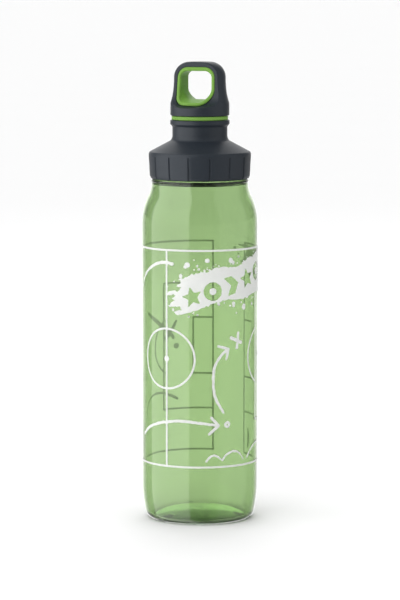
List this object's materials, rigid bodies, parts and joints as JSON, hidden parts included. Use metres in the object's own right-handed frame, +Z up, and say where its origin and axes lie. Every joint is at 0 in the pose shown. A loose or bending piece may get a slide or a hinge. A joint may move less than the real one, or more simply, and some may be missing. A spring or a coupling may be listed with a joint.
{
  "type": "screw-top sports drinking bottle",
  "caption": "Clear sports drinking bottle with a wide screw lid, a drinking neck and a screw stopper with a carrying loop.",
  "frame": {"origin": "centre of the foot, on the surface the bottle stands on", "axes": "+Z up along the bottle's axis; Y runs through the hole of the carrying loop and X across it"},
  "size_m": [0.072, 0.072, 0.2847],
  "materials": {
    "bottle_body": "clear green tinted plastic, glossy",
    "lid_collar": "satin moulded",
    "lid_washer": "pale silicone",
    "stopper_seal_ring": "soft green",
    "stopper_plug": "satin moulded",
    "stopper_shell": "satin moulded",
    "loop_lining": "soft green"
  },
  "bodies": {
    "bottle": {"bottle_body": "bottle_body"},
    "washer": {"lid_washer": "lid_washer"},
    "lid": {"lid_collar": "lid_collar"},
    "seal": {"stopper_seal_ring": "stopper_seal_ring"},
    "stopper": {"stopper_shell": "stopper_shell", "stopper_plug": "stopper_plug", "loop_lining": "loop_lining"}
  },
  "joints": [
    {"name": "lid_lift", "type": "slide", "parent": "bottle", "child": "washer", "axis": [0, 0, 1], "range_m": [0, 0.0136]},
    {"name": "lid_turn", "type": "hinge", "parent": "washer", "child": "lid", "pos_m": [0, 0, 0.225], "axis": [0, 0, 1], "range_deg": [0, 1080]},
    {"name": "stopper_lift", "type": "slide", "parent": "lid", "child": "seal", "axis": [0, 0, 1], "range_m": [0, 0.0121]},
    {"name": "stopper_turn", "type": "hinge", "parent": "seal", "child": "stopper", "pos_m": [0, 0, 0.25], "axis": [0, 0, 1], "range_deg": [0, 1080]}
  ],
  "couplings": [
    {"joint": "lid_lift", "follows": "lid_turn", "m_per_rad": 0.0007162},
    {"joint": "stopper_lift", "follows": "stopper_turn", "m_per_rad": 0.00063662}
  ]
}
